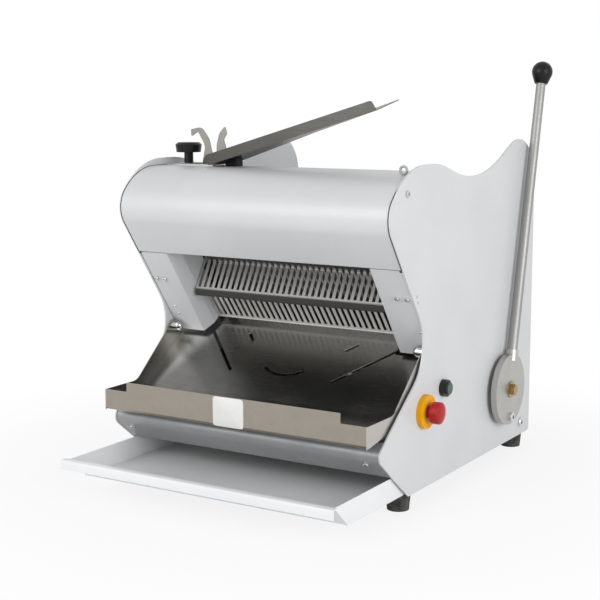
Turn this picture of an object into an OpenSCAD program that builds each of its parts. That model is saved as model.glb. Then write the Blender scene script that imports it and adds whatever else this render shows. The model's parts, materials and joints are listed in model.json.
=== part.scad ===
// Bench-top bread slicer with a hand lever, two reciprocating blade frames and a crumb tray.
// Millimetres. X runs across the machine, Y from its front to its back, Z up from the bench.

/* [Casing] */
// Width from the side of the slicing opening to the outer face of the side panel
side_w = 79; // [72:1:92]
// Thickness of the side panels
panel_t = 3; // [2:0.5:4]
// Thickness of the folded white sheets
sheet_t = 2; // [1.5:0.5:2.5]
// Rear edge of the side panels, behind the middle of the machine
rear_y = 300; // [292:1:320]
// Height of the side panels' lower edge, which is the height of the feet
foot_h = 30; // [24:1:36]
// Diameter of a rubber foot
foot_d = 46; // [36:1:56]
// Height of the cover's front, from its lower edge to the crown of the side panels
cover_h = 179; // [170:1:190]
// Height of the guard peak at the back of the side panels above the cover's flat top
peak_rise = 33; // [23:1:53]
// Depth of the cover's flat top below the crown of the side panels
cover_drop = 14; // [4:1:20]
// Radius of the guard peak
peak_r = 88; // [70:1:100]
// Radius of the waist in the panels' front edge
waist_r = 85; // [60:1:100]
// Radius of the nose
nose_r = 17; // [10:1:22]

/* [Blades] */
// Forward lean of the blades, cheeks and cover front, from the vertical
lean = 35.5; // [33:0.5:38]
// Thickness of one slice, which is the pitch of the blades
slice_t = 13; // [12:0.5:13]
// Width of a blade
blade_w = 12; // [10:0.5:13]
// Thickness of a blade
blade_t = 0.8; // [0.5:0.1:1.2]
// Pitch of the blade's teeth
tooth_pitch = 15; // [10:1:20]
// Depth of the blade's teeth
tooth_depth = 2; // [1:0.5:3]
// Side of the square blade frame bars
frame_bar = 12; // [10:0.5:14]
// Throw of the crank, half the blades' stroke
crank_throw = 10; // [6:1:12]
// Width of the slicing opening between the cheek walls
opening_w = 422; // [400:1:440]
// Distance from the middle of the opening up along the blades to the cover's lower edge
opening_top = 151.5; // [148:0.5:158]

/* [Lever and pusher] */
// Height of the lever's pivot
lever_z = 150; // [145:1:160]
// Place of the lever's pivot behind the middle of the machine
lever_y = 145; // [140:1:150]
// Backward tilt of the lever at rest
lever_tilt = 12.7; // [8:0.1:16]
// Distance from the pivot to the middle of the ball grip
lever_len = 650; // [600:1:680]
// Diameter of the lever rod at its foot
rod_d = 21; // [18:0.5:24]
// Diameter of the ball grip
ball_d = 42; // [36:1:48]
// Diameter of the lever disc
disc_d = 144; // [120:1:150]
// Diameter of the lever's cross shaft
shaft_d = 25; // [22:0.5:28]
// Forward angle of the pusher arms at rest
pusher_rest = 8; // [7:0.5:10]
// Radius of the infeed bed's upper face about the lever's pivot
bed_r = 311; // [308:1:314]
// Height of the pusher comb's fingers above the bed
finger_h = 88; // [60:1:92]

/* [Outlet and tray] */
// Length by which the crumb tray is pulled out
tray_out = 194; // [100:1:200]
// Height of the tray's rim above its bottom
tray_h = 42; // [30:1:44]
// Length of the tray's floor
tray_floor = 512; // [440:1:520]
// Thickness of the stainless sheets
steel_t = 1.5; // [1:0.5:2]
// Height of the chute's front lip at its raised middle
lip_raised = 58; // [45:1:64]
// Height of the chute's front lip at its ends
lip_low = 40; // [30:1:44]
// Width of the raised middle of the lip
lip_mid_w = 464; // [400:1:500]

/* [Controls] */
// Diameter of the start button's cap
start_d = 22; // [18:0.5:24]
// Diameter of the stop button's red head
stop_d = 40; // [34:1:46]
// Diameter of the stop button's yellow base
stop_base_d = 62; // [52:1:66]
// Travel of both buttons
button_travel = 4; // [2:0.5:5]

/* [Bagging scoop] */
// Length of the scoop's trough
scoop_len = 364; // [300:1:380]
// Width of the scoop's trough
scoop_w = 95; // [80:1:110]
// Upward tilt of the scoop
scoop_tilt = 16; // [10:0.5:20]
// Diameter of the clamp knob
knob_d = 52; // [40:1:56]

/* [Hidden] */
$fn = 48;

// Gaps and fits
fit = 0.3;
running = 0.05;

// Side panels
half_w = opening_w / 2 + side_w;
inner_w = half_w - panel_t;
sheet_w = inner_w - fit;

// The leaned frame's origin, in the middle of the visible blades: n points back and up, s up along the blades
cut_y = -168;
cut_z = 339;
panel_edge_n = -42;
cheek_n = panel_edge_n + 1.5;
function leaned_y(n, s) = cut_y + n * cos(lean) - s * sin(lean);
function leaned_z(n, s) = cut_z + n * sin(lean) + s * cos(lean);
function edge_y(z) = leaned_y(panel_edge_n, 0) - (z - leaned_z(panel_edge_n, 0)) * tan(lean);

// Side panel outline as corners [y, z, radius], from the lower front corner up the front and over the top
nose_point = [-382, 126];
nose_slope = 1.244;
front_slope = 1.363;
function chamfer_y(z) = nose_point[0] + (nose_point[1] - z) * nose_slope;
function front_y(z) = nose_point[0] + (z - nose_point[1]) * front_slope;
edge_foot = leaned_y(panel_edge_n, 0) + leaned_z(panel_edge_n, 0) * tan(lean);
cover_low = leaned_z(panel_edge_n, opening_top);
cover_top = cover_low + cover_h;
sheet_top = cover_top - cover_drop;
waist_z = (edge_foot - nose_point[0] + nose_point[1] * front_slope) / (front_slope + tan(lean));
brow_z = cover_top - 84;
brow_r = 50;
crown_y = edge_y(brow_z) + (cover_top - brow_z);
crown_r = 150;
cover_back = -160;
dip_slope = 0.29;
rise_slope = 0.474;
dip_y = 19;
dip_z = cover_top - dip_slope * (dip_y - cover_back - 10);
dip_r = 290;
peak_half = (90 - atan(rise_slope)) / 2;
peak_corner_z = cover_top + peak_rise + peak_r * (1 / tan(peak_half) - 1);
panel_corners = [
  [chamfer_y(foot_h), foot_h, 3],
  [nose_point[0], nose_point[1], nose_r],
  [front_y(waist_z), waist_z, waist_r],
  [edge_y(brow_z), brow_z, brow_r],
  [crown_y, cover_top, crown_r],
  [dip_y - (cover_top - dip_z) / dip_slope, cover_top, 200],
  [rear_y - (peak_corner_z - dip_z) / rise_slope, dip_z, dip_r],
  [rear_y, peak_corner_z, peak_r],
  [rear_y, foot_h, 8]
];

// Retaining comb in the leaned frame: its rod, then the sheet from the knuckle down the upper fingers
// to the front bar, back under the bar and down the lower fingers
comb_hinge = [33, 102];
comb_rod_r = 5;
knuckle_r = 8;
comb_path = [[33, 96, 0], [32.5, 71.4, 12], [-23.6, 44.4, 3], [-31, 33.2, 2], [0, 10, 3], [3.3, -56, 0]];
comb_w = opening_w / 2 - 2;

// Blades and their frames, in the leaned frame, just behind the comb's knuckle
blade_margin = 3;
blade_count = 2 * floor((opening_w - 2 * blade_margin) / (2 * slice_t));
blade_n = comb_hinge[0] + knuckle_r + 3 + blade_w / 2;
bar_n = 10;
bar_gap = 63;
bar_top = (cover_top - bar_gap - leaned_z(blade_n + bar_n + frame_bar, 0)) / cos(lean);
blade_top = bar_top - frame_bar - crank_throw;
blade_foot = -128;
rail_x = opening_w / 2 + 11;
lug_w = 5;
guide_s = [-30, 50];
guide_n = bar_n + frame_bar + 5;
slot_w = slice_t / 2;
arm_x = opening_w / 2 + 14;
pulley_x = arm_x - 33;
yoke_x = [pulley_x - 82, pulley_x - 42];
crank_s = blade_foot - 107;
eccentric_r = 22;
eccentric_w = 12;
yoke_t = 10;
yoke_wall = 7;
crank_r = 10;
crank_end = inner_w - 22;
crank_y = leaned_y(blade_n, crank_s);
crank_z = leaned_z(blade_n, crank_s);
function blade_x(i) = (i - (blade_count - 1) / 2) * slice_t;

// Belt drive
motor_y = rear_y - 75;
motor_z = lever_z + 15;
motor_r = 62;
motor_half = 110;
motor_shaft_r = 9.5;
crank_pulley_r = 50;
motor_pulley_r = 25;
belt_t = 5;
belt_w = 10;
pulley_flange = 2;
pulley_w = belt_w + 2 * pulley_flange + 2 * fit;
gland_x = -motor_half - 90;
deck_z = 88;
deck_t = 3;

// Lever, pusher and bed
lever_x = half_w + 16;
disc_t = 12;
boss_r = rod_d / 2 + 2.5;
boss_end = disc_d / 2 + 8;
arm_t = 10;
arm_half = 12;
hub_r = shaft_d / 2 + 12;
beam_r = bed_r + 30;
beam_h = 24;
finger_t = 4;
bed_front = 51;
bed_back = 3;
bush_r = shaft_d / 2 + 5;
rear_top = lever_z + bed_r - 31;

// Outlet chute
chute_w = inner_w - 3;
chute_top_w = opening_w / 2 - 3;
chute_shoulder = 262;
lip_y = -405;
lip_z = 147;
chute_pivot = [-190, 279];
chute_pin_r = 5;
chute_lug_r = 11;
chute_path = [
  [-112, 294, 0], [-303, 164, 110],
  [lip_y, lip_z, 6], [lip_y, lip_z + lip_raised, 0]
];
chute_slot_w = 6;

// Base rails and crumb tray
rail_t = 3;
rail_flange = 48;
rail_h = 40;
tray_z = foot_h + rail_t + fit;
tray_w = inner_w - rail_t - 1;
tray_rim = tray_z + tray_h;
tray_front = chamfer_y(tray_z) - tray_out - 6;
tray_flare = tray_h * 1.1;
tray_grip = 13;
tray_grip_drop = 16;
foot_x = inner_w - rail_flange / 2;
foot_y = [-250, rear_y - 33];

// Controls on the right side panel
start_at = [-128, 203];
stop_at = [-205, 174];
switch_wall = 1;

// Scoop on the cover
bracket_t = 3;
scoop_y = -187;
knob_x = 50 - half_w;
tongue_z = sheet_top + bracket_t;
scoop_left = knob_x + 81;
horn_y = scoop_y - 10;

// Overall box, for an origin at the middle of its lower face
ball_at = [lever_y + lever_len * sin(lever_tilt), lever_z + lever_len * cos(lever_tilt)];
stop_tip = half_w + 38;
box_x = [-half_w, max(lever_x + ball_d / 2, stop_tip)];
box_y = [tray_front - tray_flare - tray_grip, max(rear_y, ball_at[0] + ball_d / 2)];
origin = [(box_x[0] + box_x[1]) / 2, (box_y[0] + box_y[1]) / 2, 0];

white = [0.93, 0.94, 0.95];
steel = [0.72, 0.72, 0.70];
dark_steel = [0.45, 0.45, 0.46];
black = [0.08, 0.08, 0.09];

// Outlines

function unit(v) = v / norm(v);
function turn(a, b) = b - a > 180 ? b - a - 360 : b - a < -180 ? b - a + 360 : b - a;

// Points of a corner b between a and c, rounded with radius r
function corner(a, b, c, r, steps = 10) =
  r == 0 ? [b] :
  let (
    u = unit(a - b), w = unit(c - b), half = acos(u * w) / 2,
    centre = b + unit(u + w) * r / sin(half),
    p = b + u * r / tan(half) - centre, q = b + w * r / tan(half) - centre,
    start = atan2(p[1], p[0]), sweep = turn(start, atan2(q[1], q[0]))
  )
  [for (i = [0:steps]) let (t = start + sweep * i / steps) centre + r * [cos(t), sin(t)]];

function at2(c) = [c[0], c[1]];

// A closed outline from corners [x, y, radius]
function rounded(c) =
  let (n = len(c))
  [for (i = [0:n - 1]) each corner(at2(c[(i + n - 1) % n]), at2(c[i]), at2(c[(i + 1) % n]), c[i][2])];

// An open path from corners [x, y, radius]
function rounded_path(c, steps = 6) =
  let (n = len(c))
  [for (i = [0:n - 1]) each (i == 0 || i == n - 1 ? [at2(c[i])]
    : corner(at2(c[i - 1]), at2(c[i]), at2(c[i + 1]), c[i][2], steps))];

function left_normal(a, b) = let (d = unit(b - a)) [-d[1], d[0]];

// The outline of a sheet of thickness t on the left of an open path, with mitred bends
function ribbon(path, t) =
  let (
    n = len(path),
    inner = [for (i = [0:n - 1])
      let (
        before = left_normal(path[max(i - 1, 0)], path[max(i, 1)]),
        after = left_normal(path[min(i, n - 2)], path[min(i + 1, n - 1)])
      )
      path[i] + t * (before + after) / (1 + before * after)]
  )
  concat(path, [for (i = [n - 1:-1:0]) inner[i]]);

function arc(centre, r, from, to, steps = 24) =
  [for (i = [0:steps]) let (t = from + (to - from) * i / steps) centre + r * [cos(t), sin(t)]];

function reversed(list) = [for (i = [len(list) - 1:-1:0]) list[i]];

// The outline of a belt of running radii r1 and r2 around two pulleys on a line
function belt_outline(c1, r1, c2, r2) =
  let (
    d = c2 - c1, heading = atan2(d[1], d[0]), open = acos((r1 - r2) / norm(d))
  )
  concat(arc(c1, r1, heading + open, heading + 360 - open), arc(c2, r2, heading - open, heading + open));

// Placing

module in_frame() {
  translate(-origin) children();
}

module leaned() {
  translate([0, cut_y, cut_z]) rotate([lean, 0, 0]) children();
}

module at_blades() {
  leaned() translate([0, blade_n, 0]) children();
}

// A profile in (y, z), extruded across the machine
module along_x(x0, x1) {
  translate([x0, 0, 0]) rotate([90, 0, 90]) linear_extrude(x1 - x0) children();
}

// A profile in (x, z), extruded from front to back
module along_y(y0, y1) {
  translate([0, y1, 0]) rotate([90, 0, 0]) linear_extrude(y1 - y0) children();
}

module rod_x(x0, x1, r) {
  translate([x0, 0, 0]) rotate([0, 90, 0]) cylinder(h = x1 - x0, r = r);
}

module block(low, high) {
  translate(low) cube(high - low);
}

module both_sides() {
  children();
  mirror([1, 0, 0]) children();
}

module on_side(side) {
  if (side > 0) children();
  else mirror([1, 0, 0]) children();
}

// Casing

module side_panel(side) {
  color(white) in_frame() on_side(side) difference() {
    along_x(inner_w, half_w) polygon(rounded(panel_corners));
    translate([0, lever_y, lever_z]) rod_x(inner_w - 1, half_w + 1, bush_r + running);
    if (side > 0) {
      translate([0, start_at[0], start_at[1]]) rod_x(inner_w - 1, half_w + 1, start_d / 2 + switch_wall + fit);
      translate([0, stop_at[0], stop_at[1]]) rod_x(inner_w - 1, half_w + 1, start_d / 2 + switch_wall + fit);
    }
  }
}

module side_panel_left() { side_panel(-1); }
module side_panel_right() { side_panel(1); }

module top_cover() {
  lower = [leaned_y(panel_edge_n, opening_top), cover_low];
  hem = 12;
  path = [
    [lower[0] + hem * cos(lean), lower[1] + hem * sin(lean), 0],
    [lower[0], lower[1], 3],
    [edge_y(brow_z), brow_z, brow_r],
    [crown_y - cover_drop, sheet_top, crown_r - 2 * cover_drop],
    [cover_back, sheet_top, 6],
    [cover_back, sheet_top - 24, 0]
  ];
  color(white) in_frame() along_x(-sheet_w, sheet_w) polygon(ribbon(rounded_path(path, 12), -sheet_t));
}

module front_cheek(side) {
  wall_x = opening_w / 2;
  flare_x = wall_x + 11;
  function cheek_path(wall_end) = [
    [sheet_w, cheek_n + 8, 0],
    [sheet_w, cheek_n, 3],
    [flare_x, cheek_n, 3],
    [wall_x, -14, 3],
    [wall_x, wall_end, 0]
  ];
  seam_s = 60;
  cheek_s = [-57, opening_top - 1.5];
  color(white) in_frame() on_side(side) leaned() difference() {
    union() {
      translate([0, 0, cheek_s[0]]) linear_extrude(seam_s - cheek_s[0])
        polygon(ribbon(rounded_path(cheek_path(24)), -sheet_t));
      translate([0, 0, seam_s]) linear_extrude(cheek_s[1] - seam_s)
        polygon(ribbon(rounded_path(cheek_path(comb_hinge[0] + 12)), -sheet_t));
    }
    translate([0, comb_hinge[0], comb_hinge[1]]) rod_x(wall_x - 1, wall_x + sheet_t + 1, comb_rod_r + running);
  }
}

module front_cheek_left() { front_cheek(-1); }
module front_cheek_right() { front_cheek(1); }

module base_front_plate() {
  low = tray_rim + 3;
  high = lip_z + 1;
  set_back = 2;
  path = [
    [chamfer_y(low) + set_back, low, 0],
    [nose_point[0] + set_back, nose_point[1], nose_r],
    [front_y(high) + set_back, high, 0]
  ];
  color([0.74, 0.78, 0.82]) in_frame() along_x(-sheet_w, sheet_w) polygon(ribbon(rounded_path(path), -sheet_t));
}

module rear_panel() {
  flange = 22;
  y1 = rear_y - 2;
  path = [
    [y1, foot_h + rail_t + 1, 0],
    [y1, rear_top, 3],
    [y1 - flange, rear_top, 0]
  ];
  vent = [6, 70];
  vent_pitch = 18;
  vent_count = 9;
  color(white) in_frame() difference() {
    along_x(-sheet_w, sheet_w) polygon(ribbon(rounded_path(path), sheet_t));
    for (i = [0:vent_count - 1])
      translate([(i - (vent_count - 1) / 2) * vent_pitch, y1 - sheet_t / 2, motor_z])
        cube([vent[0], sheet_t + 2, vent[1]], center = true);
    translate([gland_x, y1, deck_z + 30]) rotate([90, 0, 0])
      cylinder(h = 3 * sheet_t, r = 10 + running, center = true);
  }
}

module base_rail(side) {
  color(dark_steel) in_frame() on_side(side) along_y(chamfer_y(foot_h) + 5, rear_y - 5) polygon([
    [inner_w, foot_h],
    [inner_w, foot_h + rail_h],
    [inner_w - rail_t, foot_h + rail_h],
    [inner_w - rail_t, foot_h + rail_t],
    [inner_w - rail_flange, foot_h + rail_t],
    [inner_w - rail_flange, foot_h]
  ]);
}

module base_rail_left() { base_rail(-1); }
module base_rail_right() { base_rail(1); }

// The deck under the motor, with the two saddles that hold it
module motor_deck() {
  saddle_w = 20;
  saddle_half = 58;
  color(dark_steel) in_frame() difference() {
    union() {
      block([-sheet_w, 34, deck_z], [sheet_w, rear_y - 2 - sheet_t - fit, deck_z + deck_t]);
      for (x = [-motor_half, motor_half - saddle_w])
        block([x, motor_y - saddle_half, deck_z], [x + saddle_w, motor_y + saddle_half, motor_z - 10]);
    }
    translate([0, motor_y, motor_z]) rod_x(-motor_half - 1, motor_half + 1, motor_r + fit);
  }
}

module foot(side, y) {
  taper = 3;
  color(black) in_frame() translate([side * foot_x, y, 0])
    cylinder(h = foot_h, r1 = foot_d / 2 - taper, r2 = foot_d / 2);
}

module foot_front_left() { foot(-1, foot_y[0]); }
module foot_front_right() { foot(1, foot_y[0]); }
module foot_rear_left() { foot(-1, foot_y[1]); }
module foot_rear_right() { foot(1, foot_y[1]); }

// Blade frames and their drive

module blade_guide(side) {
  color(black) in_frame() on_side(side) at_blades() difference() {
    block([rail_x - 2, -guide_n, guide_s[0]], [sheet_w, guide_n, guide_s[1]]);
    for (s = [-1, 1])
      translate([rail_x - fit, (s > 0 ? bar_n : -bar_n - frame_bar) - fit, guide_s[0] - 1])
        cube([frame_bar + 2 * fit, frame_bar + 2 * fit, guide_s[1] - guide_s[0] + 2]);
  }
}

module blade_guide_left() { blade_guide(-1); }
module blade_guide_right() { blade_guide(1); }

// A frame of two bars bolted to two rails, with lugs for every other blade; face is -1 in front, 1 behind
module blade_frame(face, first) {
  far = rail_x + frame_bar;
  n0 = face > 0 ? bar_n : -bar_n - frame_bar;
  lug_n = [face > 0 ? -blade_w / 2 : n0, face > 0 ? n0 + frame_bar : blade_w / 2];
  color(dark_steel) in_frame() at_blades() {
    both_sides() block([rail_x, n0, blade_foot + running], [far, n0 + frame_bar, blade_top - running]);
    for (s = [blade_foot - frame_bar, blade_top]) {
      block([-far, n0, s], [far, n0 + frame_bar, s + frame_bar]);
      for (i = [first:2:blade_count - 1])
        block([blade_x(i) - lug_w / 2, lug_n[0], s], [blade_x(i) + lug_w / 2, lug_n[1], s + frame_bar]);
    }
  }
}

module blade_frame_a() { blade_frame(-1, 0); }
module blade_frame_b() { blade_frame(1, 1); }

module blade_set(first) {
  teeth = floor((blade_top - blade_foot) / tooth_pitch) - 2;
  start = (blade_top + blade_foot - teeth * tooth_pitch) / 2;
  edge = blade_w / 2;
  outline = concat(
    [[-edge, blade_foot], [edge, blade_foot], [edge, start]],
    [for (i = [0:teeth - 1]) each [
      [edge - tooth_depth, start + (i + 0.5) * tooth_pitch],
      [edge, start + (i + 1) * tooth_pitch]
    ]],
    [[edge, blade_top], [-edge, blade_top]]
  );
  color([0.85, 0.85, 0.84]) in_frame() at_blades() for (i = [first:2:blade_count - 1])
    along_x(blade_x(i) - blade_t / 2, blade_x(i) + blade_t / 2) polygon(outline);
}

module blades_a() { blade_set(0); }
module blades_b() { blade_set(1); }

// Plates under a frame's lower bar, with a window that the eccentric turns in; necks clear the other frame
module drive_yokes(x, face) {
  reach = crank_throw + eccentric_r;
  half_n = reach + 1;
  half_s = reach + crank_throw + 1;
  n0 = face > 0 ? bar_n : -bar_n - frame_bar;
  color(dark_steel) in_frame() both_sides() at_blades() along_x(x - yoke_t / 2, x + yoke_t / 2) difference() {
    union() {
      translate([-half_n - yoke_wall, crank_s - half_s - yoke_wall])
        square([2 * (half_n + yoke_wall), 2 * (half_s + yoke_wall)]);
      translate([n0, crank_s]) square([frame_bar, blade_foot - frame_bar - crank_s]);
    }
    translate([-half_n, crank_s - half_s]) square([2 * half_n, 2 * half_s]);
  }
}

module drive_yokes_a() { drive_yokes(yoke_x[0], -1); }
module drive_yokes_b() { drive_yokes(yoke_x[1], 1); }

module crankshaft() {
  color(steel) in_frame() translate([0, crank_y, crank_z]) rod_x(-crank_end, crank_end, crank_r);
}

module crank_eccentrics() {
  color(dark_steel) in_frame() at_blades() translate([0, 0, crank_s])
    for (k = [0, 1]) both_sides() difference() {
      translate([0, 0, (k == 0 ? 1 : -1) * crank_throw])
        rod_x(yoke_x[k] - eccentric_w / 2, yoke_x[k] + eccentric_w / 2, eccentric_r);
      rod_x(yoke_x[k] - eccentric_w, yoke_x[k] + eccentric_w, crank_r + running);
    }
}

module crank_bearing(side) {
  color(dark_steel) in_frame() on_side(side) translate([0, crank_y, crank_z]) difference() {
    union() {
      rod_x(crank_end - 12, inner_w, 22);
      rod_x(inner_w - 8, inner_w, 36);
    }
    rod_x(crank_end - 13, crank_end + 1, crank_r + running);
  }
}

module crank_bearing_left() { crank_bearing(-1); }
module crank_bearing_right() { crank_bearing(1); }

// A flanged pulley whose groove holds the belt's inner face at radius r
module pulley(r, bore) {
  difference() {
    union() {
      rod_x(pulley_x, pulley_x + pulley_w, r - fit);
      for (x = [pulley_x, pulley_x + pulley_w - pulley_flange]) rod_x(x, x + pulley_flange, r + belt_t);
    }
    rod_x(pulley_x - 1, pulley_x + pulley_w + 1, bore + running);
  }
}

module crank_pulley() {
  color(dark_steel) in_frame() translate([0, crank_y, crank_z]) pulley(crank_pulley_r, crank_r);
}

module motor_pulley() {
  color(dark_steel) in_frame() translate([0, motor_y, motor_z]) pulley(motor_pulley_r, motor_shaft_r);
}

module motor_shaft() {
  color(steel) in_frame() translate([0, motor_y, motor_z])
    rod_x(motor_half - 30, pulley_x + pulley_w + 6, motor_shaft_r);
}

module drive_belt() {
  crank_at = [crank_y, crank_z];
  motor_at = [motor_y, motor_z];
  x0 = pulley_x + pulley_flange + fit;
  color(black) in_frame() along_x(x0, x0 + belt_w) difference() {
    polygon(belt_outline(crank_at, crank_pulley_r + belt_t, motor_at, motor_pulley_r + belt_t));
    polygon(belt_outline(crank_at, crank_pulley_r, motor_at, motor_pulley_r));
  }
}

module motor() {
  fin_count = 18;
  fin = [3, 5];
  cap = 24;
  color([0.35, 0.42, 0.5]) in_frame() translate([0, motor_y, motor_z]) difference() {
    union() {
      rod_x(-motor_half, motor_half, motor_r - fin[1]);
      for (x = [-motor_half, motor_half - cap]) rod_x(x, x + cap, motor_r);
      for (i = [0:fin_count - 1]) rotate([i * 360 / fin_count, 0, 0])
        block([cap - motor_half - 1, -fin[0] / 2, motor_r - 2 * fin[1]],
              [motor_half - cap + 1, fin[0] / 2, motor_r - 0.5]);
      block([-40, -28, motor_r - 10], [40, 28, motor_r + 26]);
    }
    rod_x(motor_half - 31, motor_half + 1, motor_shaft_r + running);
  }
}

module electrical_box() {
  color([0.55, 0.57, 0.6]) in_frame() translate([gland_x - 10, rear_y - 118, deck_z + deck_t])
    linear_extrude(90) polygon(rounded([[0, 0, 5], [80, 0, 5], [80, 100, 5], [0, 100, 5]]));
}

module cable_gland() {
  y1 = rear_y - 2;
  color(black) in_frame() translate([gland_x, y1, deck_z + 30]) rotate([-90, 0, 0]) difference() {
    union() {
      translate([0, 0, -14]) cylinder(h = 14, r = 10);
      translate([0, 0, -14]) cylinder(h = 14 - sheet_t, r = 14, $fn = 6);
      cylinder(h = 2, r = 14, $fn = 6);
    }
    translate([0, 0, -15]) cylinder(h = 30, r = 4.5);
  }
}

// Infeed, lever and pusher

// A place at radius r and forward angle from the vertical about the lever's pivot
function swung(r, angle) = [lever_y - r * sin(angle), lever_z + r * cos(angle)];

module infeed_bed() {
  centre = [lever_y, lever_z];
  span = [90 + bed_back, 90 + bed_front];
  color(steel) in_frame() along_x(-comb_w, comb_w) polygon(concat(
    arc(centre, bed_r, span[0], span[1]),
    reversed(arc(centre, bed_r - steel_t, span[0], span[1]))
  ));
}

module infeed_beam() {
  seat = swung(bed_r - steel_t, bed_front - 5);
  side = 16;
  color(dark_steel) in_frame() translate([0, seat[0], seat[1]]) rotate([85 + bed_front, 0, 0])
    block([-sheet_w, -side, -side / 2], [sheet_w, -fit, side / 2]);
}

module infeed_back_plate() {
  start = swung(bed_r, bed_back - 0.1);
  rest_z = rear_top + fit;
  path = [
    [start[0], start[1], 0],
    [rear_y - 40, rest_z + steel_t, 20],
    [rear_y - 5, rest_z + steel_t, 0]
  ];
  color(steel) in_frame() along_x(-sheet_w, sheet_w) polygon(ribbon(rounded_path(path), -steel_t));
}

module shaft_bush(side) {
  color([0.7, 0.6, 0.35]) in_frame() on_side(side) translate([0, lever_y, lever_z]) difference() {
    union() {
      rod_x(inner_w - 14, half_w, bush_r);
      rod_x(inner_w - 14, inner_w, bush_r + 8);
    }
    rod_x(inner_w - 15, half_w + 1, shaft_d / 2 + running);
  }
}

module shaft_bush_left() { shaft_bush(-1); }
module shaft_bush_right() { shaft_bush(1); }

module lever_shaft() {
  color(steel) in_frame() translate([0, lever_y, lever_z]) rod_x(-half_w, lever_x + disc_t / 2, shaft_d / 2);
}

module lever_disc() {
  color([0.8, 0.8, 0.8]) in_frame() translate([lever_x, lever_y, lever_z]) difference() {
    union() {
      rod_x(-disc_t / 2, disc_t / 2, disc_d / 2);
      rotate([-lever_tilt, 0, 0]) translate([0, 0, disc_d / 2 - 14])
        cylinder(h = boss_end - disc_d / 2 + 14, r = boss_r);
    }
    rod_x(-boss_r - 1, boss_r + 1, shaft_d / 2 + running);
  }
}

module lever_bolt() {
  head = 9;
  color([0.6, 0.5, 0.3]) in_frame() translate([lever_x + disc_t / 2, lever_y, lever_z]) {
    rod_x(0, 2, 17);
    translate([2, 0, 0]) rotate([0, 90, 0]) cylinder(h = head, r = 11, $fn = 6);
  }
}

module lever_rod() {
  color([0.78, 0.78, 0.77]) in_frame() translate([lever_x, lever_y, lever_z]) rotate([-lever_tilt, 0, 0])
    translate([0, 0, boss_end]) cylinder(h = lever_len - ball_d - boss_end, r1 = rod_d / 2, r2 = rod_d / 2 - 1);
}

module lever_ball() {
  neck = [10, 13];
  color(black) in_frame() translate([lever_x, lever_y, lever_z]) rotate([-lever_tilt, 0, 0])
    translate([0, 0, lever_len]) {
      sphere(r = ball_d / 2);
      translate([0, 0, -ball_d]) cylinder(h = ball_d / 2 + 4, r1 = neck[0], r2 = neck[1]);
    }
}

module at_pusher() {
  translate([0, lever_y, lever_z]) rotate([pusher_rest, 0, 0]) children();
}

module pusher_arm(side) {
  tip = beam_r + beam_h;
  color(dark_steel) in_frame() on_side(side) at_pusher() difference() {
    union() {
      along_x(arm_x, arm_x + arm_t) polygon(rounded([
        [-arm_half, 0, 0], [arm_half + 4, 0, 0], [arm_half + 4, tip, 8], [-arm_half, tip, 8]
      ]));
      rod_x(arm_x - 6, arm_x + arm_t + 6, hub_r);
    }
    rod_x(arm_x - 7, arm_x + arm_t + 7, shaft_d / 2 + running);
  }
}

module pusher_arm_left() { pusher_arm(-1); }
module pusher_arm_right() { pusher_arm(1); }

module pusher_comb() {
  gap = 3;
  color(steel) in_frame() at_pusher() {
    block([-arm_x, 0, beam_r], [arm_x, arm_half, beam_r + beam_h]);
    for (i = [0:blade_count - 2])
      block([blade_x(i) + slice_t / 2 - slot_w / 2, -finger_t, bed_r + gap],
            [blade_x(i) + slice_t / 2 + slot_w / 2, 0, bed_r + finger_h]);
  }
}

// Outlet

module retaining_comb() {
  upper_slot = [[-19, 36], [comb_hinge[0] + 13, comb_hinge[1] - 11]];
  lower_slot = [[-8, -49], [14, 6]];
  color(steel) in_frame() leaned() difference() {
    union() {
      along_x(-comb_w, comb_w) polygon(ribbon(rounded_path(comb_path), steel_t));
      translate([0, comb_hinge[0], comb_hinge[1]]) rod_x(-comb_w, comb_w, knuckle_r);
    }
    translate([0, comb_hinge[0], comb_hinge[1]]) rod_x(-comb_w - 1, comb_w + 1, comb_rod_r + running);
    for (i = [0:blade_count - 1], slot = [upper_slot, lower_slot])
      translate([blade_x(i), 0, 0])
        block([-slot_w / 2, slot[0][0], slot[0][1]], [slot_w / 2, slot[1][0], slot[1][1]]);
  }
}

module comb_rod() {
  color(steel) in_frame() leaned() translate([0, comb_hinge[0], comb_hinge[1]])
    rod_x(-opening_w / 2 - sheet_t - 3, opening_w / 2 + sheet_t + 3, comb_rod_r);
}

// A straight slot between two places in plan
module chute_slot(a, b) {
  d = b - a;
  translate([a[0], a[1], 0]) rotate([0, 0, atan2(d[1], d[0])]) translate([0, -chute_slot_w / 2, 0])
    cube([norm(d), chute_slot_w, 400]);
}

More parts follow.
